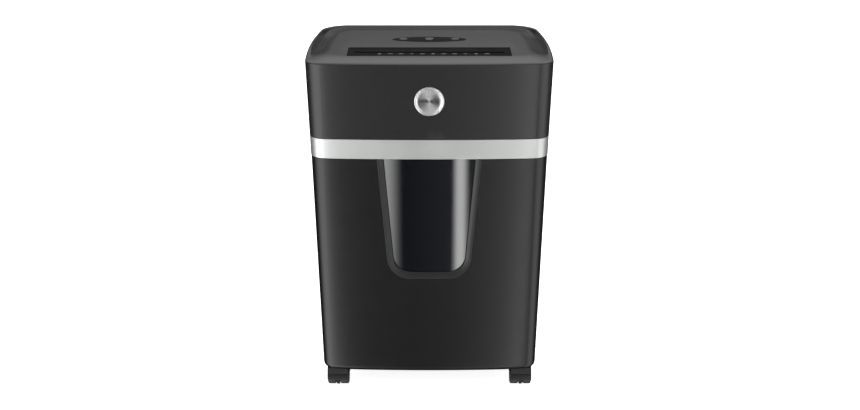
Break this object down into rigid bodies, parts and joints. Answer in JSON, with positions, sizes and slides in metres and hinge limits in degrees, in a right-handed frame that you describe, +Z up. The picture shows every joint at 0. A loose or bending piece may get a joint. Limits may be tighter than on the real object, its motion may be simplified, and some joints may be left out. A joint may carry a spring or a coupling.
{
  "type": "paper shredder",
  "caption": "Upright office paper shredder: a lift-off cutting head with a top feed slot and push buttons, on a tapered bin with a tinted window and swivel casters.",
  "frame": {"origin": "on the floor, under the middle of the body's plan", "axes": "front faces -Y, +X to the right as seen from the front, +Z up"},
  "size_m": [0.386, 0.265, 0.574],
  "materials": {
    "black_plastic": "fine textured satin black",
    "deck_plastic": "fine textured dark grey",
    "gloss_black": "smooth black",
    "satin_silver": "satin silver",
    "tinted_pane": "dark smoke tint, glossy",
    "steel": "machined, lightly oiled",
    "gear_nylon": "natural nylon",
    "motor_paint": "dark grey lacquer",
    "board_green": "circuit board green",
    "rubber": "matt black"
  },
  "bodies": {
    "bin": {"bin_bucket": "black_plastic", "window_bezel": "gloss_black", "window_pane": "tinted_pane"},
    "head": {"head_shell": "black_plastic", "silver_band": "satin_silver", "top_cover": "deck_plastic", "badge_disc": "satin_silver", "base_tray": "black_plastic", "feed_throat": "gloss_black", "control_panel": "gloss_black", "side_plate_left": "steel", "side_plate_right": "steel", "bearing_front_left": "steel", "bearing_front_right": "steel", "bearing_rear_left": "steel", "bearing_rear_right": "steel", "tie_rod_front": "steel", "tie_rod_rear": "steel", "scraper_front": "gear_nylon", "scraper_rear": "gear_nylon", "idler_pin": "steel", "gear_cover": "black_plastic", "motor_body": "motor_paint", "motor_bracket": "steel", "power_board": "board_green", "transformer": "motor_paint", "interlock_switch": "gloss_black", "cord_gland": "rubber"},
    "cutter_rear": {"cutter_shaft_rear": "steel", "sync_gear_rear": "steel", "final_gear": "gear_nylon"},
    "cutter_front": {"cutter_shaft_front": "steel", "sync_gear_front": "steel"},
    "idler": {"idler_gear": "gear_nylon"},
    "rotor": {"motor_rotor": "steel", "motor_pinion": "steel", "motor_fan": "gear_nylon"},
    "paper_sensor": {"start_lever": "gear_nylon"},
    "interlock": {"interlock_plunger": "gear_nylon"},
    "mains_switch": {"mains_rocker": "gloss_black"},
    "reverse_button": {"button_reverse": "black_plastic"},
    "power_button": {"button_power": "black_plastic"},
    "forward_button": {"button_forward": "black_plastic"},
    "caster_fl": {"caster_fl_hood": "black_plastic", "caster_fl_axle": "steel"},
    "caster_fl_left": {"caster_fl_wheel_left": "rubber"},
    "caster_fl_right": {"caster_fl_wheel_right": "rubber"},
    "caster_fr": {"caster_fr_hood": "black_plastic", "caster_fr_axle": "steel"},
    "caster_fr_left": {"caster_fr_wheel_left": "rubber"},
    "caster_fr_right": {"caster_fr_wheel_right": "rubber"},
    "caster_rl": {"caster_rl_hood": "black_plastic", "caster_rl_axle": "steel"},
    "caster_rl_left": {"caster_rl_wheel_left": "rubber"},
    "caster_rl_right": {"caster_rl_wheel_right": "rubber"},
    "caster_rr": {"caster_rr_hood": "black_plastic", "caster_rr_axle": "steel"},
    "caster_rr_left": {"caster_rr_wheel_left": "rubber"},
    "caster_rr_right": {"caster_rr_wheel_right": "rubber"}
  },
  "joints": [
    {"name": "head_lift", "type": "slide", "parent": "bin", "child": "head", "axis": [0, 0, 1], "range_m": [0, 0.3]},
    {"name": "cutter_rear_spin", "type": "hinge", "parent": "head", "child": "cutter_rear", "pos_m": [0, -0.0375, 0.48], "axis": [1, 0, 0], "continuous": true},
    {"name": "cutter_front_spin", "type": "hinge", "parent": "head", "child": "cutter_front", "pos_m": [0, -0.0755, 0.48], "axis": [1, 0, 0], "continuous": true},
    {"name": "idler_spin", "type": "hinge", "parent": "head", "child": "idler", "pos_m": [0, 0.00404, 0.49113], "axis": [1, 0, 0], "continuous": true},
    {"name": "rotor_spin", "type": "hinge", "parent": "head", "child": "rotor", "pos_m": [0, 0.03786, 0.47882], "axis": [1, 0, 0], "continuous": true},
    {"name": "sensor_swing", "type": "hinge", "parent": "head", "child": "paper_sensor", "pos_m": [0, -0.0425, 0.547], "axis": [1, 0, 0], "range_deg": [0, 25], "stiffness_Nm_per_rad": 0.01, "springref_deg": -11.46},
    {"name": "interlock_push", "type": "slide", "parent": "head", "child": "interlock", "axis": [0, 0, 1], "range_m": [0, 0.003], "stiffness_N_per_m": 150, "springref_m": -0.002},
    {"name": "mains_rock", "type": "hinge", "parent": "head", "child": "mains_switch", "pos_m": [0.07, 0.12781, 0.485], "axis": [1, 0, 0], "range_deg": [-10, 0]},
    {"name": "reverse_press", "type": "slide", "parent": "head", "child": "reverse_button", "axis": [0, 0, -1], "range_m": [0, 0.0012], "stiffness_N_per_m": 250, "springref_m": -0.001},
    {"name": "power_press", "type": "slide", "parent": "head", "child": "power_button", "axis": [0, 0, -1], "range_m": [0, 0.0012], "stiffness_N_per_m": 250, "springref_m": -0.001},
    {"name": "forward_press", "type": "slide", "parent": "head", "child": "forward_button", "axis": [0, 0, -1], "range_m": [0, 0.0012], "stiffness_N_per_m": 250, "springref_m": -0.001},
    {"name": "caster_fl_swivel", "type": "hinge", "parent": "bin", "child": "caster_fl", "pos_m": [-0.154, -0.083, 0.04], "axis": [0, 0, 1], "continuous": true},
    {"name": "caster_fl_left_roll", "type": "hinge", "parent": "caster_fl", "child": "caster_fl_left", "pos_m": [-0.154, -0.071, 0.0176], "axis": [1, 0, 0], "continuous": true},
    {"name": "caster_fl_right_roll", "type": "hinge", "parent": "caster_fl", "child": "caster_fl_right", "pos_m": [-0.154, -0.071, 0.0176], "axis": [1, 0, 0], "continuous": true},
    {"name": "caster_fr_swivel", "type": "hinge", "parent": "bin", "child": "caster_fr", "pos_m": [0.154, -0.083, 0.04], "axis": [0, 0, 1], "continuous": true},
    {"name": "caster_fr_left_roll", "type": "hinge", "parent": "caster_fr", "child": "caster_fr_left", "pos_m": [0.154, -0.071, 0.0176], "axis": [1, 0, 0], "continuous": true},
    {"name": "caster_fr_right_roll", "type": "hinge", "parent": "caster_fr", "child": "caster_fr_right", "pos_m": [0.154, -0.071, 0.0176], "axis": [1, 0, 0], "continuous": true},
    {"name": "caster_rl_swivel", "type": "hinge", "parent": "bin", "child": "caster_rl", "pos_m": [-0.148, 0.084, 0.04], "axis": [0, 0, 1], "continuous": true},
    {"name": "caster_rl_left_roll", "type": "hinge", "parent": "caster_rl", "child": "caster_rl_left", "pos_m": [-0.148, 0.096, 0.0176], "axis": [1, 0, 0], "continuous": true},
    {"name": "caster_rl_right_roll", "type": "hinge", "parent": "caster_rl", "child": "caster_rl_right", "pos_m": [-0.148, 0.096, 0.0176], "axis": [1, 0, 0], "continuous": true},
    {"name": "caster_rr_swivel", "type": "hinge", "parent": "bin", "child": "caster_rr", "pos_m": [0.148, 0.084, 0.04], "axis": [0, 0, 1], "continuous": true},
    {"name": "caster_rr_left_roll", "type": "hinge", "parent": "caster_rr", "child": "caster_rr_left", "pos_m": [0.148, 0.096, 0.0176], "axis": [1, 0, 0], "continuous": true},
    {"name": "caster_rr_right_roll", "type": "hinge", "parent": "caster_rr", "child": "caster_rr_right", "pos_m": [0.148, 0.096, 0.0176], "axis": [1, 0, 0], "continuous": true}
  ],
  "couplings": [
    {"joint": "cutter_front_spin", "follows": "cutter_rear_spin", "ratio": -1},
    {"joint": "idler_spin", "follows": "cutter_rear_spin", "ratio": -3.7778},
    {"joint": "rotor_spin", "follows": "cutter_rear_spin", "ratio": 18.889}
  ]
}
